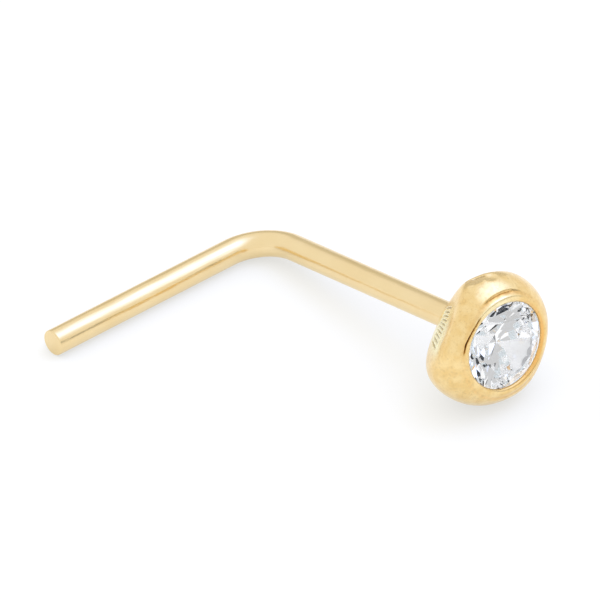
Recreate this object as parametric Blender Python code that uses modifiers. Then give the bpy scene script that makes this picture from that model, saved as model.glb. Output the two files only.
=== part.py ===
"""L-bent nose stud: a round stone in a rounded gold bezel, soldered to a bent wire post.

Metres, +Z up. The stud lies on a surface as it does when it is put down: the leg flat,
the head on its rim. The origin is the middle of its footprint.
"""
import math
from collections import namedtuple

import bmesh
import bpy
from mathutils import Matrix, Vector

MM = 0.001

# Wire post: corner lengths run to the point where the two centre lines cross
WIRE_DIAMETER = 0.64 * MM
LEG_LENGTH = 6.65 * MM
POST_LENGTH = 7.01 * MM
BEND_RADIUS = 1.10 * MM
CUT_EDGE_EASING = 0.04 * MM
SOLDER_DEPTH = 0.24 * MM

# Round brilliant stone
STONE_DIAMETER = 2.50 * MM
CROWN_HEIGHT = 0.35 * MM
GIRDLE_HEIGHT = 0.05 * MM
CROWN_ANGLE = math.radians(34.0)
PAVILION_ANGLE = math.radians(41.0)
STAR_LENGTH = 0.50
LOWER_HALF_LENGTH = 0.78
STONE_TURN = math.radians(11.0)
MAIN_FACETS = 8

# Bezel head round the stone
SEAT_CLEARANCE = 0.03 * MM
WALL_THICKNESS = 0.37 * MM
FLOOR_THICKNESS = 0.36 * MM
TABLE_RISE = 0.12 * MM
LIP_OVERLAP = 0.15 * MM
LIP_WIDTH = 0.21 * MM
LIP_BEAD_HEIGHT = 0.06 * MM
HEAD_DROP = 0.14 * MM

# Worn places on the head's back shoulder: two wide flats and a small hollow between them.
# Each is placed by its angle round the head, from the leg's side upwards, by its lean from
# square outwards towards the stone, by its depth under the round shoulder, and by the
# radius it is hollowed to
Dent = namedtuple("Dent", "name around lean depth hollow_radius")
DENTS = (
    Dent("leg_side_flat", math.radians(36.5), math.radians(-31.0), 0.405 * MM, 40.0 * MM),
    Dent("upper_flat", math.radians(110.0), math.radians(-55.0), 0.43 * MM, 40.0 * MM),
    Dent("small_hollow", math.radians(88.0), math.radians(5.0), 0.06 * MM, 1.60 * MM),
)
DENT_SOFTNESS = 0.06 * MM

# Fineness of the faceted solids
HEAD_SEGMENTS = 96
DOME_STEPS = 24
LIP_STEPS = 6
BEND_STEPS = 14
WIRE_BEVEL_RESOLUTION = 8
CUT_EDGE_STEPS = 2
CUT_EDGE_ANGLE = math.radians(60.0)
GIRDLE_SEGMENTS = 32
SMOOTH_ANGLE = math.radians(30.0)
MERGE_DISTANCE = 1e-5 * MM
CUT_MERGE_DISTANCE = 1e-3 * MM

# Sizes that follow from those above
WIRE_RADIUS = WIRE_DIAMETER / 2
STONE_RADIUS = STONE_DIAMETER / 2
TABLE_RADIUS = STONE_RADIUS - CROWN_HEIGHT / math.tan(CROWN_ANGLE)
PAVILION_DEPTH = STONE_RADIUS * math.tan(PAVILION_ANGLE)
CULET_Z = FLOOR_THICKNESS + SEAT_CLEARANCE
GIRDLE_BOTTOM_Z = CULET_Z + PAVILION_DEPTH
GIRDLE_TOP_Z = GIRDLE_BOTTOM_Z + GIRDLE_HEIGHT
TABLE_Z = GIRDLE_TOP_Z + CROWN_HEIGHT
HEAD_DEPTH = TABLE_Z - TABLE_RISE
HEAD_RADIUS = STONE_RADIUS + SEAT_CLEARANCE + WALL_THICKNESS
OPENING_RADIUS = STONE_RADIUS - LIP_OVERLAP
CREASE_RADIUS = OPENING_RADIUS + LIP_WIDTH
CREASE_Z = HEAD_DEPTH - LIP_BEAD_HEIGHT


def dome_round():
    """Radius of the one arc that is tangent to the flat back and to the head's outer
    radius and ends at the crease round the lip."""
    shoulder = HEAD_RADIUS - CREASE_RADIUS
    return shoulder + CREASE_Z - math.sqrt(2 * shoulder * CREASE_Z)


DOME_ROUND = dome_round()
BACK_RADIUS = HEAD_RADIUS - DOME_ROUND


def rise_angle():
    """Tilt of the post at which the leg and the head's rim both touch the surface."""
    reach = POST_LENGTH + DOME_ROUND
    drop = HEAD_DROP + BACK_RADIUS
    return math.atan2(drop, reach) + math.asin((DOME_ROUND - WIRE_RADIUS) / math.hypot(reach, drop))


def clear_scene():
    for old in list(bpy.data.objects):
        bpy.data.objects.remove(old, do_unlink=True)


def new_collection(name):
    collection = bpy.data.collections.new(name)
    bpy.context.scene.collection.children.link(collection)
    return collection


def gold_material():
    material = bpy.data.materials.new("polished_yellow_gold")
    material.use_nodes = True
    shader = material.node_tree.nodes["Principled BSDF"]
    shader.inputs["Base Color"].default_value = (0.91, 0.72, 0.38, 1.0)
    shader.inputs["Metallic"].default_value = 1.0
    shader.inputs["Roughness"].default_value = 0.16
    return material


def stone_material():
    material = bpy.data.materials.new("clear_stone")
    material.use_nodes = True
    shader = material.node_tree.nodes["Principled BSDF"]
    shader.inputs["Base Color"].default_value = (0.97, 0.98, 1.0, 1.0)
    shader.inputs["Roughness"].default_value = 0.0
    shader.inputs["IOR"].default_value = 2.16
    shader.inputs["Transmission Weight"].default_value = 1.0
    return material


def arc(centre_r, centre_z, radius, start, end, steps):
    """Points (r, z) on an arc, by angles from the outward direction."""
    angles = [start + (end - start) * step / steps for step in range(steps + 1)]
    return [(centre_r + radius * math.cos(a), centre_z + radius * math.sin(a)) for a in angles]


def crown_meeting_point():
    """Where the star, main and upper half facets meet: its radius and height."""
    table_edge = TABLE_RADIUS * math.cos(math.pi / MAIN_FACETS)
    radius = table_edge + (STONE_RADIUS - table_edge) * STAR_LENGTH
    main_distance = radius * math.cos(math.pi / MAIN_FACETS)
    return radius, GIRDLE_TOP_Z + (STONE_RADIUS - main_distance) * math.tan(CROWN_ANGLE)


def pavilion_meeting_point():
    """Where two pavilion mains and their lower halves meet: its radius and height."""
    radius = STONE_RADIUS * (1 - LOWER_HALF_LENGTH)
    main_distance = radius * math.cos(math.pi / MAIN_FACETS)
    return radius, GIRDLE_BOTTOM_Z - (STONE_RADIUS - main_distance) * math.tan(PAVILION_ANGLE)


def shade_smooth(mesh):
    mesh.shade_smooth()
    mesh.set_sharp_from_angle(angle=SMOOTH_ANGLE)


def head_profile():
    """The head's section from the bottom of its seat, over the lip and down to its back."""
    crown_r, crown_z = crown_meeting_point()
    pavilion_r, pavilion_z = pavilion_meeting_point()
    crown_slope = (crown_z - GIRDLE_TOP_Z) / (STONE_RADIUS - crown_r)
    under_lip_z = GIRDLE_TOP_Z + (STONE_RADIUS - OPENING_RADIUS) * crown_slope + SEAT_CLEARANCE
    seat = [
        (0.0, CULET_Z - SEAT_CLEARANCE),
        (pavilion_r + SEAT_CLEARANCE, pavilion_z - SEAT_CLEARANCE),
        (STONE_RADIUS + SEAT_CLEARANCE, GIRDLE_BOTTOM_Z),
        (STONE_RADIUS + SEAT_CLEARANCE, GIRDLE_TOP_Z),
        (OPENING_RADIUS, under_lip_z),
    ]
    half_width = LIP_WIDTH / 2
    bead_radius = (half_width ** 2 + LIP_BEAD_HEIGHT ** 2) / (2 * LIP_BEAD_HEIGHT)
    bead_half_angle = math.asin(half_width / bead_radius)
    upright = math.pi / 2
    lip = arc(OPENING_RADIUS + half_width, HEAD_DEPTH - bead_radius, bead_radius,
              upright + bead_half_angle, upright - bead_half_angle, LIP_STEPS)
    crease_angle = math.atan2(CREASE_Z - DOME_ROUND, CREASE_RADIUS - BACK_RADIUS)
    dome = arc(BACK_RADIUS, DOME_ROUND, DOME_ROUND, crease_angle, -upright, DOME_STEPS)
    return seat + lip + dome[1:] + [(0.0, 0.0)]


def head_axis_place(piece, stud):
    """Stand a piece made round local Z on the post's end, its Z along the post."""
    piece.parent = stud
    piece.rotation_euler = (0.0, math.pi / 2, 0.0)
    piece.location = (POST_LENGTH, 0.0, -HEAD_DROP)


def turned_mesh(profile, helpers):
    """A closed mesh turned round Z from a profile of (r, z) points."""
    outline = bpy.data.meshes.new("turned_outline")
    points = [(r, 0.0, z) for r, z in profile]
    outline.from_pydata(points, [(i, i + 1) for i in range(len(points) - 1)], [])
    guide = bpy.data.objects.new("turned_guide", outline)
    helpers.objects.link(guide)
    turn = guide.modifiers.new("turn", "SCREW")
    turn.axis = "Z"
    turn.steps = HEAD_SEGMENTS
    turn.render_steps = HEAD_SEGMENTS
    turn.use_merge_vertices = True
    turn.merge_threshold = MERGE_DISTANCE
    bpy.context.view_layer.update()
    graph = bpy.context.evaluated_depsgraph_get()
    mesh = bpy.data.meshes.new_from_object(guide.evaluated_get(graph))
    bpy.data.objects.remove(guide, do_unlink=True)
    return mesh


def press_dent(shape, dent):
    """Press a ball into the shoulder, with a soft edge: what would lie inside the ball is
    pushed out to its surface."""
    around = -math.pi / 2 - dent.around
    radial = Vector((math.cos(around), math.sin(around), 0.0))
    upwards = Vector((0.0, 0.0, 1.0))
    out = radial * math.cos(dent.lean) + upwards * math.sin(dent.lean)
    shoulder = radial * BACK_RADIUS + upwards * DOME_ROUND
    middle = shoulder + out * (DOME_ROUND - dent.depth + dent.hollow_radius)
    for vertex in shape.verts:
        away = vertex.co - middle
        inside = (dent.hollow_radius - away.length) / DENT_SOFTNESS
        push = max(inside, 0.0) + math.log1p(math.exp(-abs(inside)))
        vertex.co += away.normalized() * push * DENT_SOFTNESS


def make_head(parts, helpers, stud):
    """The bezel: one turned cup whose lip closes over the stone's edge, then dented."""
    mesh = turned_mesh(head_profile(), helpers)
    mesh.name = "bezel_and_post"
    shape = bmesh.new()
    shape.from_mesh(mesh)
    bmesh.ops.remove_doubles(shape, verts=shape.verts, dist=MERGE_DISTANCE)
    for dent in DENTS:
        press_dent(shape, dent)
    shape.to_mesh(mesh)
    shape.free()
    shade_smooth(mesh)
    head = bpy.data.objects.new("bezel_and_post", mesh)
    parts.objects.link(head)
    head_axis_place(head, stud)
    return head


def wire_path():
    """Centre line from the cut end of the leg, round the bend, into the head's back."""
    centre = Vector((BEND_RADIUS, -BEND_RADIUS, 0.0))
    path = [Vector((0.0, -LEG_LENGTH, 0.0))]
    for step in range(BEND_STEPS + 1):
        angle = math.pi - math.pi / 2 * step / BEND_STEPS
        path.append(centre + BEND_RADIUS * Vector((math.cos(angle), math.sin(angle), 0.0)))
    path.append(Vector((POST_LENGTH + SOLDER_DEPTH, 0.0, 0.0)))
    return path


def make_wire(helpers, stud):
    """The round wire, bent square, as a closed mesh."""
    curve = bpy.data.curves.new("bent_wire", "CURVE")
    curve.dimensions = "3D"
    curve.bevel_depth = WIRE_RADIUS
    curve.bevel_resolution = WIRE_BEVEL_RESOLUTION
    curve.use_fill_caps = True
    spline = curve.splines.new("POLY")
    path = wire_path()
    spline.points.add(len(path) - 1)
    for point, place in zip(spline.points, path):
        point.co = (*place, 1.0)
    guide = bpy.data.objects.new("bent_wire_guide", curve)
    helpers.objects.link(guide)
    guide.parent = stud
    bpy.context.view_layer.update()
    graph = bpy.context.evaluated_depsgraph_get()
    mesh = bpy.data.meshes.new_from_object(guide.evaluated_get(graph))
    shape = bmesh.new()
    shape.from_mesh(mesh)
    bmesh.ops.remove_doubles(shape, verts=shape.verts, dist=MERGE_DISTANCE)
    shape.to_mesh(mesh)
    shape.free()
    shade_smooth(mesh)
    wire = bpy.data.objects.new("bent_wire", mesh)
    helpers.objects.link(wire)
    wire.parent = stud
    wire.matrix_world = guide.matrix_world.copy()
    bpy.data.objects.remove(guide, do_unlink=True)
    easing = wire.modifiers.new("eased cut edge", "BEVEL")
    easing.width = CUT_EDGE_EASING
    easing.segments = CUT_EDGE_STEPS
    easing.limit_method = "ANGLE"
    easing.angle_limit = CUT_EDGE_ANGLE
    return wire


def join_wire(head, wire):
    """Solder the wire to the head: one solid."""
    joint = head.modifiers.new("solder joint", "BOOLEAN")
    joint.operation = "UNION"
    joint.solver = "EXACT"
    joint.object = wire
    wire.hide_render = True
    wire.display_type = "WIRE"


def cut_facets(shape, count, first_angle, distance, height, slope):
    """Cut count planes round the axis. Each passes through the given distance from the
    axis at the given height, and slopes inwards from there by the given angle: up for a
    positive one, down for a negative one."""
    for index in range(count):
        angle = first_angle + 2 * math.pi * index / count
        outwards = Vector((math.cos(angle), math.sin(angle), 0.0))
        upwards = Vector((0.0, 0.0, math.copysign(1.0, slope)))
        normal = outwards * math.sin(abs(slope)) + upwards * math.cos(slope)
        cut_plane(shape, outwards * distance + Vector((0.0, 0.0, height)), normal)


def cut_plane(shape, place, normal):
    """Cut away what lies beyond one plane and close the cut."""
    cut = bmesh.ops.bisect_plane(shape, geom=shape.verts[:] + shape.edges[:] + shape.faces[:],
                                 dist=MERGE_DISTANCE, plane_co=place, plane_no=normal,
                                 clear_outer=True)
    rim = [item for item in cut["geom_cut"] if isinstance(item, bmesh.types.BMEdge)]
    if len(rim) > 2:
        bmesh.ops.contextual_create(shape, geom=rim)


def make_stone(parts, stud):
    """A round brilliant: a disc blank cut by the planes of its facets."""
    mesh = bpy.data.meshes.new("stone")
    shape = bmesh.new()
    blank_height = TABLE_Z - CULET_Z
    bmesh.ops.create_cone(shape, cap_ends=True, segments=GIRDLE_SEGMENTS, radius1=STONE_RADIUS,
                          radius2=STONE_RADIUS, depth=blank_height,
                          matrix=Matrix.Translation((0.0, 0.0, CULET_Z + blank_height / 2)))
    sector = 2 * math.pi / MAIN_FACETS
    half_facet_distance = math.cos(sector / 4)
    crown_r, crown_z = crown_meeting_point()
    pavilion_r, pavilion_z = pavilion_meeting_point()
    upper_slope = math.atan2(crown_z - GIRDLE_TOP_Z, (STONE_RADIUS - crown_r) * half_facet_distance)
    lower_slope = math.atan2(GIRDLE_BOTTOM_Z - pavilion_z,
                             (STONE_RADIUS - pavilion_r) * half_facet_distance)
    table_edge = TABLE_RADIUS * math.cos(sector / 2)
    star_slope = math.atan2(TABLE_Z - crown_z, crown_r - table_edge)
    cut_facets(shape, 2 * MAIN_FACETS, sector / 4, STONE_RADIUS * half_facet_distance,
               GIRDLE_TOP_Z, upper_slope)
    cut_facets(shape, 2 * MAIN_FACETS, sector / 4, STONE_RADIUS * half_facet_distance,
               GIRDLE_BOTTOM_Z, -lower_slope)
    cut_facets(shape, MAIN_FACETS, 0.0, STONE_RADIUS, GIRDLE_TOP_Z, CROWN_ANGLE)
    cut_facets(shape, MAIN_FACETS, 0.0, STONE_RADIUS, GIRDLE_BOTTOM_Z, -PAVILION_ANGLE)
    cut_facets(shape, MAIN_FACETS, sector / 2, table_edge, TABLE_Z, star_slope)
    bmesh.ops.remove_doubles(shape, verts=shape.verts, dist=CUT_MERGE_DISTANCE)
    bmesh.ops.recalc_face_normals(shape, faces=shape.faces)
    shape.to_mesh(mesh)
    shape.free()
    stone = bpy.data.objects.new("stone", mesh)
    parts.objects.link(stone)
    head_axis_place(stone, stud)
    stone.rotation_euler.rotate_axis("Z", STONE_TURN)
    return stone


def centre_on_footprint(stud, pieces):
    """Move the stud so that the origin is under the middle of its box."""
    bpy.context.view_layer.update()
    graph = bpy.context.evaluated_depsgraph_get()
    points = []
    for piece in pieces:
        evaluated = piece.evaluated_get(graph)
        points += [evaluated.matrix_world @ vertex.co for vertex in evaluated.data.vertices]
    low = [min(point[axis] for point in points) for axis in range(3)]
    high = [max(point[axis] for point in points) for axis in range(3)]
    stud.location -= Vector(((low[0] + high[0]) / 2, (low[1] + high[1]) / 2, low[2]))
    bpy.context.view_layer.update()


def build():
    clear_scene()
    parts = new_collection("nose_stud")
    helpers = new_collection("nose_stud_helpers")
    stud = bpy.data.objects.new("stud_at_rest", None)
    helpers.objects.link(stud)
    stud.rotation_euler = (0.0, -rise_angle(), 0.0)
    head = make_head(parts, helpers, stud)
    join_wire(head, make_wire(helpers, stud))
    stone = make_stone(parts, stud)
    head.data.materials.append(gold_material())
    stone.data.materials.append(stone_material())
    centre_on_footprint(stud, (head, stone))


build()
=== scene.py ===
import math
from collections import namedtuple

import bmesh
import bpy
from mathutils import Matrix, Vector, noise


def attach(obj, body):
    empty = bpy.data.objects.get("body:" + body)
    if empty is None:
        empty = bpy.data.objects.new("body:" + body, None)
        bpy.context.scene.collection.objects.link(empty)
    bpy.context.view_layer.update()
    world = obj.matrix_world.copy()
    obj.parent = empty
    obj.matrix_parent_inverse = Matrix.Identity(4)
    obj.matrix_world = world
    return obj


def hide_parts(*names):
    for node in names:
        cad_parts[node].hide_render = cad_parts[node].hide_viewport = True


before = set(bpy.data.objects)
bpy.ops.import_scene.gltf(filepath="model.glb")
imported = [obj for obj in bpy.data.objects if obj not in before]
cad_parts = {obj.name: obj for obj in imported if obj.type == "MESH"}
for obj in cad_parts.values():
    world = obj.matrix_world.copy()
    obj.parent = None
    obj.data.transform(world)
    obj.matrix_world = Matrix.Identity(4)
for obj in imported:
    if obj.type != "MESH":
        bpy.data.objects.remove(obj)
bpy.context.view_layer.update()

# The wire post
# One length of round drawn gold wire, cut square, its edge eased with a file, and bent once.
# The leg lies on the surface and the post rises from the bend to the head's back, where it
# is soldered in. Drawing and polishing leave faint lines that run along it.
MM = 0.001
WIRE_RADIUS = 0.32 * MM
WIRE_SIDES = 64
LEG_LENGTH = 6.65 * MM
POST_LENGTH = 7.01 * MM
BEND_RADIUS = 1.10 * MM
BEND_STEPS = 36
SOLDER_DEPTH = 0.24 * MM
CUT_EDGE_EASING = 0.04 * MM
CUT_EDGE_STEPS = 4
WIRE_SMOOTH_ANGLE = math.radians(40)
MERGE_DISTANCE = 1e-4 * MM
CORNER = Vector((-4.28825, 2.50053, 0.31940)) * MM
POST_RISE = math.radians(10.523447)
ALONG_POST = Vector((math.cos(POST_RISE), 0.0, math.sin(POST_RISE)))
UP_FROM_POST = Vector((-math.sin(POST_RISE), 0.0, math.cos(POST_RISE)))
ALONG_LEG = Vector((0.0, 1.0, 0.0))


def named_piece(name):
    """Name the new primitive, and move its place and turn into its mesh."""
    piece = bpy.context.object
    piece.name = piece.data.name = name
    bpy.ops.object.transform_apply(location=True, rotation=True, scale=True)
    return piece


def pick(piece, part, wanted):
    """In edit mode, select only the verts, edges or faces whose corners are all wanted."""
    bpy.ops.mesh.select_all(action="DESELECT")
    bpy.ops.mesh.select_mode(type=part)
    shape = bmesh.from_edit_mesh(piece.data)
    for item in {"VERT": shape.verts, "EDGE": shape.edges, "FACE": shape.faces}[part]:
        corners = [item] if part == "VERT" else item.verts
        item.select_set(all(wanted(corner.co) for corner in corners))
    shape.select_flush_mode()
    bmesh.update_edit_mesh(piece.data)


bpy.ops.object.select_all(action="DESELECT")
bpy.ops.mesh.primitive_circle_add(vertices=WIRE_SIDES, radius=WIRE_RADIUS, fill_type="NGON",
                                  location=CORNER - ALONG_LEG * LEG_LENGTH,
                                  rotation=(math.pi / 2, 0.0, 0.0))
wire = named_piece("wire_post")
bpy.ops.object.mode_set(mode="EDIT")
bpy.ops.mesh.select_all(action="SELECT")
bpy.ops.mesh.extrude_region_move(
    TRANSFORM_OT_translate={"value": ALONG_LEG * (LEG_LENGTH - BEND_RADIUS)})
bend_centre = CORNER + (ALONG_POST - ALONG_LEG) * BEND_RADIUS
bpy.ops.mesh.spin(steps=BEND_STEPS, angle=math.pi / 2, center=bend_centre,
                  axis=ALONG_POST.cross(ALONG_LEG))
bpy.ops.mesh.extrude_region_move(
    TRANSFORM_OT_translate={"value": ALONG_POST * (POST_LENGTH + SOLDER_DEPTH - BEND_RADIUS)})
bpy.ops.mesh.select_all(action="SELECT")
bpy.ops.mesh.remove_doubles(threshold=MERGE_DISTANCE)
bpy.ops.mesh.normals_make_consistent(inside=False)
leg_end_y = CORNER.y - LEG_LENGTH + CUT_EDGE_EASING
pick(wire, "EDGE", lambda co: co.y < leg_end_y)
bpy.ops.mesh.bevel(offset=CUT_EDGE_EASING, segments=CUT_EDGE_STEPS, affect="EDGES")
bpy.ops.object.mode_set(mode="OBJECT")
bpy.ops.object.shade_smooth_by_angle(angle=WIRE_SMOOTH_ANGLE)

# Each point's place on the wire as it was before the bend: along it, and across it two ways
straight = wire.data.attributes.new("straight_wire", "FLOAT_VECTOR", "POINT")
bend_start = LEG_LENGTH - BEND_RADIUS
for vertex in wire.data.vertices:
    place = vertex.co - CORNER
    forward, across, up = place.dot(ALONG_POST), place.dot(ALONG_LEG), place.dot(UP_FROM_POST)
    if across < -BEND_RADIUS:
        unbent = (LEG_LENGTH + across, -forward, up)
    elif forward > BEND_RADIUS:
        unbent = (bend_start + BEND_RADIUS * math.pi / 2 + forward - BEND_RADIUS, across, up)
    else:
        turned = math.atan2(across + BEND_RADIUS, BEND_RADIUS - forward)
        radius = math.hypot(across + BEND_RADIUS, BEND_RADIUS - forward)
        unbent = (bend_start + BEND_RADIUS * turned, radius - BEND_RADIUS, up)
    straight.data[vertex.index].vector = unbent


def new_material(name):
    """A new material, its node tree and its surface shader."""
    material = bpy.data.materials.new(name)
    material.use_nodes = True
    return material, material.node_tree, material.node_tree.nodes["Principled BSDF"]


def pattern(tree, place, scale, detail):
    """A soft random pattern, read at a place on the piece."""
    texture = tree.nodes.new("ShaderNodeTexNoise")
    texture.inputs["Scale"].default_value = scale
    texture.inputs["Detail"].default_value = detail
    tree.links.new(place, texture.inputs["Vector"])
    return texture.outputs["Fac"]


def spread(tree, value, start, end, first=0.0, last=1.0):
    """What goes from first to last while the given value goes from start to end."""
    node = tree.nodes.new("ShaderNodeMapRange")
    node.inputs["From Min"].default_value = start
    node.inputs["From Max"].default_value = end
    node.inputs["To Min"].default_value = first
    node.inputs["To Max"].default_value = last
    tree.links.new(value, node.inputs["Value"])
    return node.outputs["Result"]


def blend(tree, share, under, over):
    """One colour laid over another by a share. The one under it may come from a node."""
    node = tree.nodes.new("ShaderNodeMix")
    node.data_type = "RGBA"
    tree.links.new(share, node.inputs["Factor"])
    if isinstance(under, tuple):
        node.inputs["A"].default_value = (*under, 1.0)
    else:
        tree.links.new(under, node.inputs["A"])
    node.inputs["B"].default_value = (*over, 1.0)
    return node.outputs["Result"]


def raised(tree, height, strength, distance):
    """Fine bumps that stand up where the height is great."""
    node = tree.nodes.new("ShaderNodeBump")
    node.inputs["Strength"].default_value = strength
    node.inputs["Distance"].default_value = distance
    tree.links.new(height, node.inputs["Height"])
    return node


def polished_gold(tree, shader, colour, grain, roughness):
    """Finish a shader as gold of one colour, with a polish that varies with the grain."""
    shader.inputs["Metallic"].default_value = 1.0
    tree.links.new(colour, shader.inputs["Base Color"])
    tree.links.new(spread(tree, grain, 0.0, 1.0, *roughness), shader.inputs["Roughness"])


# Colours, and for each pattern its scale and its detail
LIGHT_GOLD = (0.91, 0.74, 0.445)
DEEP_GOLD = (0.84, 0.64, 0.33)
WIRE_ROUGHNESS = (0.15, 0.29)
DRAW_STRETCH = (1100.0, 13000.0, 13000.0)
DRAW_LINES = (1.0, 4.0)
DRAW_LINE_STRENGTH = 0.45
DRAW_LINE_HEIGHT = 0.014 * MM
WIRE_PATCHES = (900.0, 2.0)

wire_gold, tree, shader = new_material("drawn_wire_gold")
unbent_place = tree.nodes.new("ShaderNodeAttribute")
unbent_place.attribute_name = "straight_wire"
along_wire = tree.nodes.new("ShaderNodeMapping")
along_wire.inputs["Scale"].default_value = DRAW_STRETCH
tree.links.new(unbent_place.outputs["Vector"], along_wire.inputs["Vector"])
draw_lines = pattern(tree, along_wire.outputs["Vector"], *DRAW_LINES)
wire_patches = pattern(tree, unbent_place.outputs["Vector"], *WIRE_PATCHES)
polished_gold(tree, shader, blend(tree, wire_patches, LIGHT_GOLD, DEEP_GOLD), draw_lines,
              WIRE_ROUGHNESS)
drawn = raised(tree, draw_lines, DRAW_LINE_STRENGTH, DRAW_LINE_HEIGHT)
tree.links.new(drawn.outputs["Normal"], shader.inputs["Normal"])
wire.data.materials.append(wire_gold)
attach(wire, "root")
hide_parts("bezel_and_post")

# The bezel head
# A fat round cup turned from the same gold and closed over the stone's edge by a burnished
# lip, which left a groove beside it. Its back shoulder is worn flat in two places, and the
# flat on the leg's side carries an even row of plain file marks.
DOME_ROUND = 0.962507 * MM
BACK_RADIUS = 0.687493 * MM
HEAD_DROP = 0.14 * MM
DOME_SIDES = 240
DOME_END_RADIUS = 1.40 * MM
DOME_END_STEPS = 8
FINE_SECTOR = math.pi / 2
FINE_SECTOR_STEPS = 190
COARSE_SECTOR_STEPS = 130
LIP_OUTER_RADIUS = 1.325 * MM
LIP_TOP_RADIUS = 1.205 * MM
LIP_TOP = 1.729 * MM
LIP_STEPS = 14
OPENING_RADIUS = 1.10 * MM
STONE_EDGE_HEIGHT = 1.652 * MM
# The seat's corners, from the lip down to its floor: radius and height in millimetres
SEAT = ((1.10, 1.650), (1.28, 1.5266), (1.28, 1.4766), (0.305, 0.576), (0.0, 0.36))
SEAT_RADIUS = 1.285 * MM
SEAT_MOUTH = 1.6505 * MM
SEAT_BOTTOM = 0.35 * MM
PICKING_TOLERANCE = 1e-3 * MM
HEAD_SMOOTH_ANGLE = math.radians(50)

bpy.ops.object.select_all(action="DESELECT")
bpy.ops.mesh.primitive_circle_add(vertices=DOME_SIDES, radius=DOME_ROUND, fill_type="NOTHING",
                                  location=(-BACK_RADIUS, 0.0, DOME_ROUND),
                                  rotation=(math.pi / 2, 0.0, 0.0))
head = named_piece("bezel_head")
bpy.ops.object.mode_set(mode="EDIT")


def off_the_dome(co):
    """Whether a corner of the circle is nearer the axis than the head's outside."""
    above_centre = co.z > DOME_ROUND
    return co.x > -(DOME_END_RADIUS if above_centre else BACK_RADIUS) + PICKING_TOLERANCE


pick(head, "VERT", off_the_dome)
bpy.ops.mesh.delete(type="VERT")


def draw_on(profile):
    """Extrude the selected profile end from point to point, given as (radius, height)."""
    shape = bmesh.from_edit_mesh(head.data)
    here = next(vertex.co.copy() for vertex in shape.verts if vertex.select)
    for radius, height in profile:
        there = Vector((-radius, 0.0, height))
        bpy.ops.mesh.extrude_vertices_move(TRANSFORM_OT_translate={"value": there - here})
        here = there


def dome_height(radius):
    """Height of the dome's outside above the head's back, on its stone side."""
    return DOME_ROUND + math.sqrt(DOME_ROUND ** 2 - (radius - BACK_RADIUS) ** 2)


dome_end = max((vertex.co.copy() for vertex in bmesh.from_edit_mesh(head.data).verts),
               key=lambda co: co.z)
outline = []
for step in range(1, DOME_END_STEPS + 1):
    radius = -dome_end.x + (LIP_OUTER_RADIUS + dome_end.x) * step / DOME_END_STEPS
    outline.append((radius, dome_height(radius)))
lip_foot = dome_height(LIP_OUTER_RADIUS)
for step in range(1, LIP_STEPS + 1):
    share = step / LIP_STEPS
    outline.append((LIP_OUTER_RADIUS + (LIP_TOP_RADIUS - LIP_OUTER_RADIUS) * share,
                    lip_foot + (LIP_TOP - lip_foot) * share * (2.0 - share)))
for step in range(1, LIP_STEPS + 1):
    turn = math.pi / 2 * step / LIP_STEPS
    outline.append((LIP_TOP_RADIUS - (LIP_TOP_RADIUS - OPENING_RADIUS) * math.sin(turn),
                    STONE_EDGE_HEIGHT + (LIP_TOP - STONE_EDGE_HEIGHT) * math.cos(turn)))
pick(head, "VERT", lambda co: (co - dome_end).length < MERGE_DISTANCE)
draw_on(outline + [(radius * MM, height * MM) for radius, height in SEAT])
pick(head, "VERT", lambda co: co.z < MERGE_DISTANCE)
draw_on([(0.0, 0.0)])
bpy.ops.mesh.select_all(action="SELECT")
bpy.ops.mesh.spin(steps=FINE_SECTOR_STEPS, angle=-FINE_SECTOR, center=(0, 0, 0), axis=(0, 0, 1))
bpy.ops.mesh.spin(steps=COARSE_SECTOR_STEPS, angle=FINE_SECTOR - 2 * math.pi, center=(0, 0, 0),
                  axis=(0, 0, 1))
bpy.ops.mesh.select_all(action="SELECT")
bpy.ops.mesh.remove_doubles(threshold=MERGE_DISTANCE)
bpy.ops.mesh.normals_make_consistent(inside=False)
bpy.ops.object.mode_set(mode="OBJECT")
for face in head.data.polygons:
    across = math.hypot(face.center.x, face.center.y)
    if across < SEAT_RADIUS and SEAT_BOTTOM < face.center.z < SEAT_MOUTH:
        face.material_index = 1

# Pressed places: angle round the head from the leg's side upwards and lean towards the stone
# in degrees, then depth, radius of the ball that fits them and softness of their edge in
# millimetres. First the two worn flats, then the two parts of the small hollow between them
PRESSED_PLACES = ((36.5, -31.0, 0.405, 40.0, 0.15),
                  (110.0, -55.0, 0.43, 40.0, 0.06),
                  (86.0, 0.0, 0.075, 1.10, 0.014),
                  (97.5, 14.0, 0.045, 0.45, 0.010))
# Soft swells of the dome: angle in degrees, then height, rise and reach in millimetres
SWELLS = ((350.0, 0.45, 0.045, 1.3),
          (165.0, 1.35, 0.030, 1.3),
          (245.0, 1.50, 0.045, 0.9))
SWELL_FADE = 0.12 * MM
UPWARDS = Vector((0.0, 0.0, 1.0))


def outwards_at(around):
    """Level direction from the head's axis, by the angle from the leg's side upwards."""
    turn = -math.pi / 2 - math.radians(around)
    return Vector((math.cos(turn), math.sin(turn), 0.0))


def limited(value):
    """A value held between nothing and one."""
    return min(max(value, 0.0), 1.0)


def bump_shape(offset, half_width):
    """One in the middle of a mark, falling smoothly to nothing at its edge."""
    far = min(abs(offset) / half_width, 1.0)
    return (1.0 - far * far) ** 2


def press_in(around, lean, depth, ball_radius, softness):
    """Push what would lie inside a big ball out to its surface, with a soft edge."""
    radial = outwards_at(around)
    out = radial * math.cos(math.radians(lean)) + UPWARDS * math.sin(math.radians(lean))
    shoulder = radial * BACK_RADIUS + UPWARDS * DOME_ROUND
    middle = shoulder + out * (DOME_ROUND - depth + ball_radius)
    for vertex in head.data.vertices:
        away = vertex.co - middle
        inside = (ball_radius - away.length) / softness
        push = max(inside, 0.0) + math.log1p(math.exp(-abs(inside)))
        vertex.co += away.normalized() * push * softness


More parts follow.
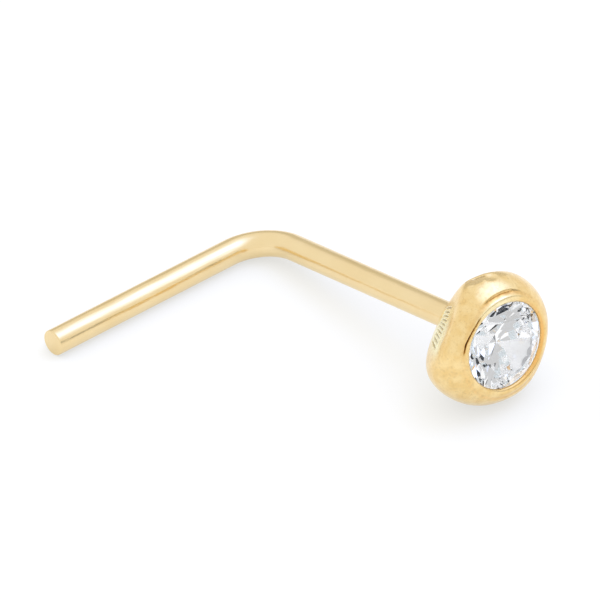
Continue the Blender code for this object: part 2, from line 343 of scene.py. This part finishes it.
def swell(around, height, rise, reach):
    """Raise the dome softly round one place on it, but not the lip."""
    middle = outwards_at(around) * BACK_RADIUS + UPWARDS * DOME_ROUND
    lean = math.asin((height - DOME_ROUND) / DOME_ROUND)
    middle += (outwards_at(around) * math.cos(lean) + UPWARDS * math.sin(lean)) * DOME_ROUND
    for vertex, out in zip(head.data.vertices, [v.normal.copy() for v in head.data.vertices]):
        fade = 1.0
        if vertex.co.z >= DOME_ROUND:
            across = math.hypot(vertex.co.x, vertex.co.y)
            fade = limited((across - LIP_OUTER_RADIUS) / SWELL_FADE)
        if out.dot(vertex.co - UPWARDS * DOME_ROUND) > 0.0:
            vertex.co += out * rise * fade * bump_shape((vertex.co - middle).length, reach)


for around, lean, depth, ball_radius, softness in PRESSED_PLACES:
    press_in(around, lean, depth * MM, ball_radius * MM, softness * MM)
for around, height, rise, reach in SWELLS:
    swell(around, height * MM, rise * MM, reach * MM)

# Plain file marks, all alike, side by side on the flat at the leg's side: their angles round
# the head, and the heights in millimetres between which each runs
FILE_MARK_ANGLES = tuple(range(10, 56, 5))
FILE_MARK_BOTTOM = 0.42
FILE_MARK_TOP = 0.80
FILE_MARK_STRENGTH = 0.8
# A fine line in three straight stretches. Each has its two ends, as radius in millimetres,
# angle round the head and height in millimetres, and then its strength
TOP_LINE = (((1.588, 79.9, 0.879), (1.577, 85.0, 0.932), 1.0),
            ((1.577, 85.0, 0.932), (1.572, 91.0, 0.996), 1.0),
            ((1.572, 91.0, 0.996), (1.581, 95.2, 1.078), 0.9))
MARK_HALF_WIDTH = 0.033 * MM
MARK_DEPTH = 0.052 * MM
MARK_DIRT = 0.75
TOP_LINE_DIRT = 0.7
TOP_LINE_DEPTH = 0.026 * MM

# Pale areas: the filed flat on the leg's side, its paleness partly a painted sheen, the worn top,
# and a painted highlight high on the dome beside the lip. For each, the angle round the head and
# the height in millimetres of their middle, how far they reach each way, how full and wide their
# middle is, and how pale they are
PaleAndHighlightArea = namedtuple("PaleAndHighlightArea", "around half_angle height half_height fullness paleness")
# The filed flat is painted pale, a painted sheen for the light that its file marks catch
FILED_LEG_SIDE = PaleAndHighlightArea(31.0, 36.0, 0.62, 0.62, 1.8, 1.0)
WORN_TOP = PaleAndHighlightArea(92.0, 24.0, 0.98, 0.55, 1.0, 0.55)
# A painted highlight high on the dome beside the lip, laid on as paleness
TOP_PAINTED_HIGHLIGHT = PaleAndHighlightArea(100.0, 28.0, 1.53, 0.24, 1.0, 0.22)
WORN_TOP_WARMTH = 0.6
BACK_EDGE_HEIGHT = 0.05 * MM
TOP_RADIUS = 1.45 * MM
FILED_SIDE_TOP = 1.45 * MM
TOP_PAINTED_HIGHLIGHT_RADIUS = 1.33 * MM

# The open crack and the groove beside the lip. The lines are angles round the head with a
# radius in millimetres, and the others are angles with a share of the full depth
CRACK_LINE = ((13.0, 1.292), (18.5, 1.283), (25.0, 1.279), (32.0, 1.252), (39.0, 1.232),
              (48.0, 1.216), (57.0, 1.222), (59.5, 1.230))
CRACK_SHARE = ((13.0, 0.15), (18.5, 0.7), (25.0, 1.0), (57.0, 1.0), (59.5, 0.2))
CRACK_HALF_WIDTH = 0.026 * MM
CRACK_DEPTH = 0.07 * MM
GROOVE_LINE = ((0.0, 1.30), (58.0, 1.315), (66.0, 1.325), (110.0, 1.335), (130.0, 1.30),
               (180.0, 1.31), (360.0, 1.30))
GROOVE_SHARE = ((0.0, 0.1), (60.0, 0.2), (72.0, 0.6), (84.0, 1.0), (104.0, 1.0), (122.0, 0.3),
                (150.0, 0.1), (200.0, 0.15), (245.0, 0.35), (275.0, 0.45), (310.0, 0.25),
                (360.0, 0.1))
GROOVE_OUTER_WIDTH = 0.060 * MM
GROOVE_LIP_WIDTH = 0.095 * MM
GROOVE_DEPTH = 0.040 * MM
GROOVE_DIRT = 0.45
GROOVE_SPECKLE = 12000.0
SPECKLE_MIDDLE = 0.5
SPECKLE_CONTRAST = 1.5

# The lip: where it begins, its inner wall and far side, which are painted a deeper orange as a
# painted reflection of gold in gold, its crest with a painted highlight, and how far its edge is
# from round
LIP_HEIGHT = 1.60 * MM
INNER_WALL_RADIUS = 1.19 * MM
INNER_WALL_TOP = 1.70 * MM
INNER_WALL_FADE = 0.04 * MM
FAR_SIDE_AROUND = 200.0
FAR_SIDE_HALF_ANGLE = 100.0
FAR_SIDE_RADIUS = 1.20 * MM
FAR_SIDE_FADE = 0.05 * MM
CREST_INNER_RADIUS = 1.11 * MM
CREST_OUTER_RADIUS = 1.27 * MM
CREST_AROUND = 85.0
CREST_HALF_ANGLE = 42.0
CREST_PAINTED_HIGHLIGHT = 0.6
OVAL_TURN = 10.0
OVAL_LENGTHENING = 0.03 * MM
OVAL_SHIFT = 0.025 * MM
OVAL_NARROWING = 0.005 * MM
OVAL_RADIUS = 1.31 * MM
OVAL_FADE = 0.16 * MM
CROWN_SLOPE = math.tan(math.radians(34.0))


def on_head(place):
    """Point of the head given as radius, angle from the leg's side, and height."""
    radius, around, height = place
    return outwards_at(around) * radius * MM + UPWARDS * height * MM


def along(points, around):
    """Value between the points (angle, value), straight from one to the next."""
    if not points[0][0] <= around <= points[-1][0]:
        return None
    for (start, first), (end, last) in zip(points, points[1:]):
        if around <= end:
            return first + (last - first) * (around - start) / (end - start)


def turned_from(area, around):
    """Angle from the middle of a worn area, by the shorter way round the head."""
    return (around - area.around + 180.0) % 360.0 - 180.0


def pale_share(area, around, height):
    """How pale a place in one of the pale areas is: wear, painted sheen on the filed flat and a
    painted highlight beside the lip.
    """
    sideways = bump_shape(turned_from(area, around), area.half_angle)
    upwards = bump_shape(height - area.height * MM, area.half_height * MM)
    return area.paleness * limited(area.fullness * sideways) * limited(area.fullness * upwards)


def on_leg_side_flat(around, height):
    """Point of the flat on the leg's side, by its angle round the head and its height."""
    middle, lean, depth = PRESSED_PLACES[0][:3]
    lean = math.radians(lean)
    reach = BACK_RADIUS * math.cos(lean) + DOME_ROUND * (1.0 + math.sin(lean)) - depth * MM
    level = math.cos(lean) * math.cos(math.radians(around - middle))
    radius = (reach - height * MM * math.sin(lean)) / level
    return outwards_at(around) * radius + UPWARDS * height * MM


def scratch(co, normal, marks, half_width):
    """The strongest of some short straight marks at a point of the surface. Each mark is
    half as strong at its ends as in its middle."""
    strongest = 0.0
    for start, end, strength in marks:
        run = end - start
        share = limited((co - start).dot(run) / run.length_squared)
        aside = co - start - run * share
        aside -= normal * aside.dot(normal)
        fade = 0.5 + 2.0 * share * (1.0 - share)
        strongest = max(strongest, bump_shape(aside.length, half_width) * strength * fade)
    return strongest


file_marks = [(on_leg_side_flat(around, FILE_MARK_BOTTOM),
               on_leg_side_flat(around, FILE_MARK_TOP), FILE_MARK_STRENGTH)
              for around in FILE_MARK_ANGLES]
top_line = [(on_head(start), on_head(end), strength) for start, end, strength in TOP_LINE]


# The next three each give how pale, dirty and deep in colour a point is, and how far it sinks. The
# paleness holds painted highlights and a painted sheen, and the deep colour a painted reflection
def wear_of_top(co, normal, around, height):
    """The worn top, crossed by one fine dirty line."""
    paleness_and_highlight = pale_share(WORN_TOP, around, height)
    line = scratch(co, normal, top_line, MARK_HALF_WIDTH)
    return paleness_and_highlight, TOP_LINE_DIRT * line, WORN_TOP_WARMTH * paleness_and_highlight, TOP_LINE_DEPTH * line


def wear_of_leg_side(co, normal, around, height):
    """The flat on the leg's side, with its file marks, and paler with a painted sheen for the
    light that they catch.
    """
    paleness_and_highlight = pale_share(FILED_LEG_SIDE, around, height)
    mark = scratch(co, normal, file_marks, MARK_HALF_WIDTH)
    return paleness_and_highlight, MARK_DIRT * mark, 0.0, mark * MARK_DEPTH


def lip_wear_and_painted_light(co, around, across, height):
    """The lip, with the crack and the groove beside it, a painted orange reflection in the groove
    and on its inner wall and far side, and a painted highlight on its crest.
    """
    paleness_and_highlight = dirt = sunk = 0.0
    crack_radius = along(CRACK_LINE, around)
    if crack_radius is not None:
        dirt = bump_shape(across - crack_radius * MM, CRACK_HALF_WIDTH) \
            * along(CRACK_SHARE, around)
        sunk = dirt * CRACK_DEPTH
    offset = across - along(GROOVE_LINE, around) * MM
    line = bump_shape(offset, GROOVE_OUTER_WIDTH) * along(GROOVE_SHARE, around)
    groove = line
    if offset <= 0.0:
        groove = bump_shape(offset, GROOVE_LIP_WIDTH) * along(GROOVE_SHARE, around)
    sunk += groove * GROOVE_DEPTH
    speckle = limited(SPECKLE_MIDDLE + SPECKLE_CONTRAST * noise.noise(co * GROOVE_SPECKLE))
    dirt = max(dirt, GROOVE_DIRT * line * speckle)
    inner_wall = 0.0
    if across < INNER_WALL_RADIUS:
        inner_wall = limited((INNER_WALL_TOP - height) / INNER_WALL_FADE)
    far_side = bump_shape(around - FAR_SIDE_AROUND, FAR_SIDE_HALF_ANGLE) \
        * limited((FAR_SIDE_RADIUS - across) / FAR_SIDE_FADE)
    # The groove, inner wall and far side are painted a deeper orange, a painted reflection of gold
    # in gold
    warmth_and_reflection = max(line, inner_wall, far_side)
    # Painted highlight on the lip's crest
    if CREST_INNER_RADIUS < across < CREST_OUTER_RADIUS:
        paleness_and_highlight = CREST_PAINTED_HIGHLIGHT * bump_shape(around - CREST_AROUND, CREST_HALF_ANGLE) \
            * (1.0 - warmth_and_reflection)
    return paleness_and_highlight, dirt, warmth_and_reflection, sunk


wear_and_painted_light = head.data.attributes.new("wear_and_painted_light", "FLOAT_VECTOR", "POINT")
normals = [vertex.normal.copy() for vertex in head.data.vertices]
for vertex, normal in zip(head.data.vertices, normals):
    height = vertex.co.z
    if height < BACK_EDGE_HEIGHT:
        continue
    across = math.hypot(vertex.co.x, vertex.co.y)
    around = (-90.0 - math.degrees(math.atan2(vertex.co.y, vertex.co.x))) % 360.0
    near_top = abs(turned_from(WORN_TOP, around)) < WORN_TOP.half_angle
    near_leg = abs(turned_from(FILED_LEG_SIDE, around)) < FILED_LEG_SIDE.half_angle
    paleness_and_highlight = dirt = warmth_and_reflection = sunk = 0.0
    if across > TOP_RADIUS and near_top:
        paleness_and_highlight, dirt, warmth_and_reflection, sunk = wear_of_top(vertex.co, normal, around, height)
    elif across > BACK_RADIUS and height < FILED_SIDE_TOP and near_leg:
        paleness_and_highlight, dirt, warmth_and_reflection, sunk = wear_of_leg_side(vertex.co, normal, around, height)
    elif height > LIP_HEIGHT:
        paleness_and_highlight, dirt, warmth_and_reflection, sunk = lip_wear_and_painted_light(vertex.co, around, across, height)
    # The painted highlight high on the dome beside the lip
    if across > TOP_PAINTED_HIGHLIGHT_RADIUS:
        paleness_and_highlight = max(paleness_and_highlight, pale_share(TOP_PAINTED_HIGHLIGHT, around, height))
    vertex.co -= normal * sunk
    if height > LIP_HEIGHT and across < OVAL_RADIUS:
        turn = math.radians(around - OVAL_TURN)
        oval = OVAL_LENGTHENING * math.cos(2 * turn) - OVAL_SHIFT * math.cos(turn) \
            - OVAL_NARROWING
        fade = limited((OVAL_RADIUS - across) / OVAL_FADE)
        vertex.co += (outwards_at(around) - UPWARDS * CROWN_SLOPE) * oval * fade
    wear_and_painted_light.data[vertex.index].vector = (paleness_and_highlight, dirt, warmth_and_reflection)
on_the_post = Matrix.Translation(CORNER) @ Matrix.Rotation(-POST_RISE, 4, "Y") \
    @ Matrix.Translation((POST_LENGTH, 0.0, -HEAD_DROP)) @ Matrix.Rotation(math.pi / 2, 4, "Y")
head.matrix_world = on_the_post
bpy.ops.object.transform_apply(location=True, rotation=True, scale=True)
bpy.ops.object.shade_smooth_by_angle(angle=HEAD_SMOOTH_ANGLE)

# Colours, and for each pattern its scale and its detail
WARM_GOLD = (0.91, 0.69, 0.335)
BURNISHED_GOLD = (0.85, 0.60, 0.245)
PALE_AND_HIGHLIGHT_GOLD = (1.0, 0.96, 0.66)
ORANGE_WARMTH_AND_REFLECTION = (0.88, 0.49, 0.14)
GRIME_BROWN = (0.20, 0.095, 0.02)
SPECKLE_BROWN = (0.66, 0.43, 0.17)
HEAD_ROUGHNESS = (0.16, 0.30)
MOTTLING = (3600.0, 3.0)
MOTTLING_RANGE = (0.38, 0.62)
GRAIN = (14000.0, 2.0)
GRAIN_STRENGTH = 0.12
GRAIN_HEIGHT = 0.004 * MM
HAMMERING = (4200.0, 3.0)
HAMMERING_STRENGTH = 0.35
HAMMERING_HEIGHT = 0.012 * MM
SPECKLE_RANGE = (0.52, 0.70)
SPECKLE_COVER = 0.33
TOP_POLISH = 0.35
TOP_POLISH_ROUGHNESS = 0.15


def greater_of(tree, first, second):
    """The greater of two values."""
    node = tree.nodes.new("ShaderNodeMath")
    node.operation = "MAXIMUM"
    tree.links.new(first, node.inputs[0])
    tree.links.new(second, node.inputs[1])
    return node.outputs["Value"]


head_gold, tree, shader = new_material("burnished_gold")
place = tree.nodes.new("ShaderNodeTexCoord").outputs["Object"]
grain = pattern(tree, place, *GRAIN)
wear_and_light_places = tree.nodes.new("ShaderNodeAttribute")
wear_and_light_places.attribute_name = "wear_and_painted_light"
kinds = tree.nodes.new("ShaderNodeSeparateXYZ")
tree.links.new(wear_and_light_places.outputs["Vector"], kinds.inputs["Vector"])
paleness_and_highlight, dirt, warmth_and_reflection = kinds.outputs["X"], kinds.outputs["Y"], kinds.outputs["Z"]
mottled = spread(tree, pattern(tree, place, *MOTTLING), *MOTTLING_RANGE)
colour = blend(tree, mottled, WARM_GOLD, BURNISHED_GOLD)
# Paler gold where worn, with the painted sheen of the filed flat and the painted highlights on the
# dome and the lip's crest
colour = blend(tree, paleness_and_highlight, colour, PALE_AND_HIGHLIGHT_GOLD)
# Painted orange reflection on the lip's groove, inner wall and far side, and a warmer tone on the
# worn top
colour = blend(tree, warmth_and_reflection, colour, ORANGE_WARMTH_AND_REFLECTION)
colour = blend(tree, dirt, colour, GRIME_BROWN)
speckles = spread(tree, grain, *SPECKLE_RANGE, 0.0, SPECKLE_COVER)
colour = blend(tree, speckles, colour, SPECKLE_BROWN)
polished_gold(tree, shader, colour, grain, HEAD_ROUGHNESS)
hammered = raised(tree, pattern(tree, place, *HAMMERING), HAMMERING_STRENGTH, HAMMERING_HEIGHT)
grained = raised(tree, grain, GRAIN_STRENGTH, GRAIN_HEIGHT)
tree.links.new(hammered.outputs["Normal"], grained.inputs["Normal"])
tree.links.new(grained.outputs["Normal"], shader.inputs["Normal"])
# Where the gold is worn pale, filed or given a painted highlight, and where it is dirty, its
# bright top polish is gone
top_polish = spread(tree, greater_of(tree, paleness_and_highlight, dirt), 0.0, 1.0, TOP_POLISH, 0.0)
tree.links.new(top_polish, shader.inputs["Coat Weight"])
shader.inputs["Coat Roughness"].default_value = TOP_POLISH_ROUGHNESS
head.data.materials.append(head_gold)

# The seat shows only through the stone. It is made white and gives off a painted glow of its own,
# so that light comes back up through the stone. It has black spots of painted shade under the lip,
# and grey spots lower on its far side. Each has its place as radius, angle and height, then its
# reach in millimetres and its darkness
SEAT_SHADE_AND_GREY_SPOTS = ((1.19, 290.0, 1.59, 0.13, 1.0),
              (1.19, 298.0, 1.59, 0.13, 1.0),
              (1.19, 133.0, 1.59, 0.10, 1.0),
              (1.17, 119.0, 1.60, 0.05, 1.0),
              (0.90, 199.0, 1.126, 0.13, 0.42),
              (0.90, 213.0, 1.126, 0.13, 0.42),
              (0.90, 229.0, 1.126, 0.14, 0.50),
              (0.90, 247.0, 1.126, 0.12, 0.42))
SPOT_CORE = 0.9
SEAT_WHITE = (0.93, 0.935, 0.94)
SPOT_BLACK = (0.01, 0.01, 0.012)
SEAT_GLOW = 0.50
SEAT_GLOW_COLOUR = (0.985, 0.99, 1.0, 1.0)
SEAT_ROUGHNESS = 0.6

white_seat, tree, shader = new_material("bright_white_seat")
place = tree.nodes.new("ShaderNodeTexCoord").outputs["Object"]
spotted = None
for radius, around, height, reach, darkness in SEAT_SHADE_AND_GREY_SPOTS:
    away = tree.nodes.new("ShaderNodeVectorMath")
    away.operation = "DISTANCE"
    away.inputs[1].default_value = on_the_post @ on_head((radius, around, height))
    tree.links.new(place, away.inputs[0])
    spot = spread(tree, away.outputs["Value"], reach * MM, SPOT_CORE * reach * MM, 0.0, darkness)
    spotted = spot if spotted is None else greater_of(tree, spotted, spot)
# Black spots of painted shade under the lip, grey spots lower down, and a painted glow elsewhere
tree.links.new(blend(tree, spotted, SEAT_WHITE, SPOT_BLACK), shader.inputs["Base Color"])
tree.links.new(spread(tree, spotted, 0.0, 1.0, SEAT_GLOW, 0.0), shader.inputs["Emission Strength"])
shader.inputs["Emission Color"].default_value = SEAT_GLOW_COLOUR
shader.inputs["Roughness"].default_value = SEAT_ROUGHNESS
head.data.materials.append(white_seat)
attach(head, "root")
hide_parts("bezel_and_post")

# The stone
# A round brilliant of clear colourless stone, cut with a table, a crown and a pavilion and
# held by the lip. It bends light strongly, so its back facets mirror part of what surrounds
# it, and the rest of them show the seat.
STONE_CLEAR = (0.998, 0.998, 1.0)
STONE_FAINT_GREY = (0.985, 0.987, 0.99)
STONE_CLOUDS = (1800.0, 2.0)
PAINTED_BLUE_FRINGE = (0.80, 0.90, 0.94)
EDGE_BLUE_TOP = 1.67 * MM
EDGE_BLUE_FULL = 1.64 * MM
EDGE_BLUE_BOTTOM = 1.55 * MM
STONE_IOR = 2.16
STONE_SHINE = (0.25, 0.27, 0.30, 1.0)

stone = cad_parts["stone"]
clear_stone, tree, shader = new_material("clear_cut_stone")
place = tree.nodes.new("ShaderNodeTexCoord").outputs["Object"]
body = blend(tree, pattern(tree, place, *STONE_CLOUDS), STONE_CLEAR, STONE_FAINT_GREY)
# Height above the head's back, measured along the post
to_stone = stone.matrix_world.inverted()
from_back = tree.nodes.new("ShaderNodeVectorMath")
from_back.operation = "SUBTRACT"
from_back.inputs[1].default_value = to_stone @ on_the_post.translation
tree.links.new(place, from_back.inputs[0])
above_back = tree.nodes.new("ShaderNodeVectorMath")
above_back.operation = "DOT_PRODUCT"
above_back.inputs[1].default_value = to_stone.to_3x3() @ ALONG_POST
tree.links.new(from_back.outputs["Vector"], above_back.inputs[0])
# The lowest part of the crown, down to the stone's edge, is painted faintly blue, a painted fringe
# for the colours that the stone splits light into
low_crown = spread(tree, above_back.outputs["Value"], EDGE_BLUE_TOP, EDGE_BLUE_FULL)
above_edge = tree.nodes.new("ShaderNodeMath")
above_edge.operation = "GREATER_THAN"
above_edge.inputs[1].default_value = EDGE_BLUE_BOTTOM
tree.links.new(above_back.outputs["Value"], above_edge.inputs[0])
rim = tree.nodes.new("ShaderNodeMath")
rim.operation = "MULTIPLY"
tree.links.new(low_crown, rim.inputs[0])
tree.links.new(above_edge.outputs["Value"], rim.inputs[1])
tree.links.new(blend(tree, rim.outputs["Value"], body, PAINTED_BLUE_FRINGE),
               shader.inputs["Base Color"])
shader.inputs["Roughness"].default_value = 0.0
shader.inputs["IOR"].default_value = STONE_IOR
shader.inputs["Specular Tint"].default_value = STONE_SHINE
shader.inputs["Transmission Weight"].default_value = 1.0
stone.data.materials.clear()
stone.data.materials.append(clear_stone)

# The camera
# It looks down on the stud from a long way off, as a close-up lens does, with the leg towards
# it and the stone to the right.
VIEW_TURN = math.radians(48.776)
VIEW_HEIGHT = math.radians(36.178)
VIEW_DISTANCE = 0.3
TARGET_RIGHT = 0.851 * MM
TARGET_DOWN = 1.564 * MM
LENS_LENGTH = 752.74
SENSOR_WIDTH = 36.0
back = Vector((math.sin(VIEW_TURN) * math.cos(VIEW_HEIGHT),
               -math.cos(VIEW_TURN) * math.cos(VIEW_HEIGHT), math.sin(VIEW_HEIGHT)))
right = Vector((math.cos(VIEW_TURN), math.sin(VIEW_TURN), 0.0))
above = back.cross(right)
target = CORNER + right * TARGET_RIGHT - above * TARGET_DOWN
bpy.ops.object.camera_add(location=target + back * VIEW_DISTANCE)
camera = bpy.context.object
camera.rotation_mode = "QUATERNION"
camera.rotation_quaternion = back.to_track_quat("Z", "Y")
camera.data.lens = LENS_LENGTH
camera.data.sensor_width = SENSOR_WIDTH
camera.data.clip_start = 0.01
camera.data.clip_end = 10.0
bpy.context.scene.camera = camera

# The floor and the light
# A lit white table under a white tent. One cool soft box hangs behind the stud, and a grey
# wall stands low at the back. A dark strip is the tent's seam, and a dark square round the
# camera is the opening that it looks through.
FLOOR_GREY = (0.36, 0.36, 0.36, 1.0)
FLOOR_ROUGHNESS = 0.9
FLOOR_GLOW = 0.68
FLOOR_GLOW_COLOUR = (1.0, 0.985, 0.94, 1.0)
TENT_LIGHT = 1.0
CARD_DISTANCE = 0.2
WHITE = (1.0, 1.0, 1.0)
SKY_BLUE = (0.5, 0.62, 1.0)
CREAM = (1.0, 0.96, 0.86)

bpy.ops.object.select_all(action="DESELECT")
bpy.ops.mesh.primitive_plane_add(size=1.0, location=(0, 0, 0))
floor = named_piece("floor")
floor_card, tree, shader = new_material("white_card")
shader.inputs["Base Color"].default_value = FLOOR_GREY
shader.inputs["Roughness"].default_value = FLOOR_ROUGHNESS
shader.inputs["Specular IOR Level"].default_value = 0.0
shader.inputs["Emission Color"].default_value = FLOOR_GLOW_COLOUR
shader.inputs["Emission Strength"].default_value = FLOOR_GLOW
floor.data.materials.append(floor_card)

world = bpy.data.worlds.new("white_tent")
bpy.context.scene.world = world
world.use_nodes = True
world.node_tree.nodes["Background"].inputs["Color"].default_value = (*WHITE, 1.0)
world.node_tree.nodes["Background"].inputs["Strength"].default_value = TENT_LIGHT


def lamp_material(name, glow, colour=WHITE):
    """A material that only glows: its node tree, its lamp and its surface socket."""
    material = bpy.data.materials.new(name)
    material.use_nodes = True
    tree = material.node_tree
    tree.nodes.clear()
    out = tree.nodes.new("ShaderNodeOutputMaterial")
    lamp = tree.nodes.new("ShaderNodeEmission")
    lamp.inputs["Strength"].default_value = glow
    lamp.inputs["Color"].default_value = (*colour, 1.0)
    tree.links.new(lamp.outputs["Emission"], out.inputs["Surface"])
    return material, tree, lamp, out.inputs["Surface"]


def face_stud(card, name, towards):
    """Name a card and turn its face back along the direction that it stands in."""
    card.name = card.data.name = name
    card.rotation_mode = "QUATERNION"
    card.rotation_quaternion = towards.to_track_quat("Z", "Y")


def studio_card(name, direction, width, height, glow, colour=WHITE, lights_floor=False):
    """A card of the given width and height in degrees, as seen from the stud. One that
    lights the floor fades out towards its edge."""
    towards = Vector(direction).normalized()
    bpy.ops.mesh.primitive_plane_add(size=2.0, location=towards * CARD_DISTANCE)
    card = bpy.context.object
    face_stud(card, name, towards)
    card.scale = (CARD_DISTANCE * math.tan(math.radians(width / 2)),
                  CARD_DISTANCE * math.tan(math.radians(height / 2)), 1.0)
    card.visible_camera = False
    card.visible_shadow = False
    card.visible_diffuse = lights_floor
    material, tree, lamp, surface = lamp_material(name, glow, colour)
    if lights_floor:
        place = tree.nodes.new("ShaderNodeTexCoord")
        round_fade = tree.nodes.new("ShaderNodeTexGradient")
        round_fade.gradient_type = "SPHERICAL"
        fade = tree.nodes.new("ShaderNodeMapRange")
        fade.interpolation_type = "SMOOTHSTEP"
        clear = tree.nodes.new("ShaderNodeBsdfTransparent")
        faded = tree.nodes.new("ShaderNodeMixShader")
        tree.links.new(place.outputs["Object"], round_fade.inputs["Vector"])
        tree.links.new(round_fade.outputs["Fac"], fade.inputs["Value"])
        tree.links.new(fade.outputs["Result"], faded.inputs["Fac"])
        tree.links.new(clear.outputs["BSDF"], faded.inputs[1])
        tree.links.new(lamp.outputs["Emission"], faded.inputs[2])
        tree.links.new(faded.outputs["Shader"], surface)
    card.data.materials.append(material)
    return card


studio_card("soft_box", (0.14, 0.48, 0.86), 80, 72, 3.1, SKY_BLUE, lights_floor=True)
studio_card("grey_wall", (-0.80, 0.50, 0.27), 60, 28, 0.70, CREAM)
studio_card("tent_seam", (0.817, 0.532, 0.222), 50, 9, 0.25)
camera_opening = studio_card("camera_opening", back, 14, 14, 0.02)
camera_opening.visible_glossy = False

# Flags: round cards, two grey and eight black, that only the light through the stone meets.
# Each has the turn and height of its direction from the stone and half its width, in degrees,
# then its glow and its distance in metres
FLAGS = (("grey_flag", 72.0, 30.0, 38.0, 0.60, 0.19),
         ("low_grey_flag", 52.0, -24.0, 27.0, 0.62, 0.012),
         ("flag_a", 70.0, 8.0, 2.5, 0.0, 0.18),
         ("flag_b", 92.0, 30.0, 2.5, 0.0, 0.18),
         ("flag_c", 28.0, 54.0, 11.0, 0.0, 0.18),
         ("flag_d", 4.0, 26.0, 11.0, 0.0, 0.18),
         ("flag_e", 90.0, 68.0, 4.0, 0.0, 0.18),
         ("flag_f", 20.0, 10.0, 8.0, 0.0, 0.18),
         ("flag_g", 36.0, 16.0, 8.0, 0.0, 0.18),
         ("flag_h", 100.0, 42.0, 4.0, 0.0, 0.18))
FLAG_SIDES = 48
STONE_PLACE = CORNER + ALONG_POST * 8.4 * MM
for name, turn, height, half_width, glow, distance in FLAGS:
    turn, height = math.radians(turn), math.radians(height)
    towards = Vector((math.sin(turn) * math.cos(height), -math.cos(turn) * math.cos(height),
                      math.sin(height)))
    bpy.ops.mesh.primitive_circle_add(vertices=FLAG_SIDES, fill_type="NGON",
                                      radius=distance * math.tan(math.radians(half_width)),
                                      location=STONE_PLACE + towards * distance)
    flag = bpy.context.object
    face_stud(flag, name, towards)
    flag.visible_camera = flag.visible_shadow = flag.visible_diffuse = flag.visible_glossy = False
    flag.data.materials.append(lamp_material(name, glow)[0])

bpy.context.scene.view_settings.view_transform = "Standard"
bpy.context.scene.cycles.max_bounces = 40
bpy.context.scene.cycles.glossy_bounces = 32
bpy.context.scene.cycles.transmission_bounces = 32
bpy.context.scene.cycles.caustics_reflective = False
